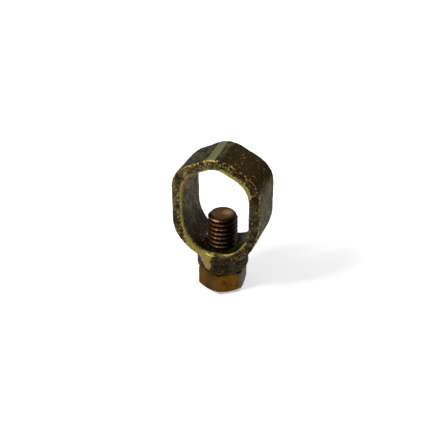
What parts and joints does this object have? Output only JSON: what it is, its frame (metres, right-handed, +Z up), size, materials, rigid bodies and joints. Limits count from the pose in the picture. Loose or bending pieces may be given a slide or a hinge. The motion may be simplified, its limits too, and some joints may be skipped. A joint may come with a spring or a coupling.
{
  "type": "earth rod clamp",
  "caption": "Cast brass ring with a pitched roof and a round boss; a hexagon head bolt comes up through the boss to press a cable against an earth rod.",
  "frame": {"origin": "middle of the bolt head's free end, on the bolt's axis, where the clamp stands", "axes": "+Z up along the bolt to the roof of the ring, Y along the earth rod, X across the ring"},
  "size_m": [0.0286, 0.0168, 0.0482],
  "materials": {
    "cast_brass": "as cast, dark oxide skin with bare rubbed edges",
    "bronze_bolt": "machined bronze, tarnished; alloy guessed from its golden brown colour"
  },
  "bodies": {
    "casting": {"clamp_body": "cast_brass"},
    "bolt": {"clamp_bolt": "bronze_bolt"}
  },
  "joints": [
    {"name": "bolt_travel", "type": "slide", "parent": "casting", "child": "bolt", "axis": [0, 0, 1], "range_m": [-0.01588, 0]}
  ]
}
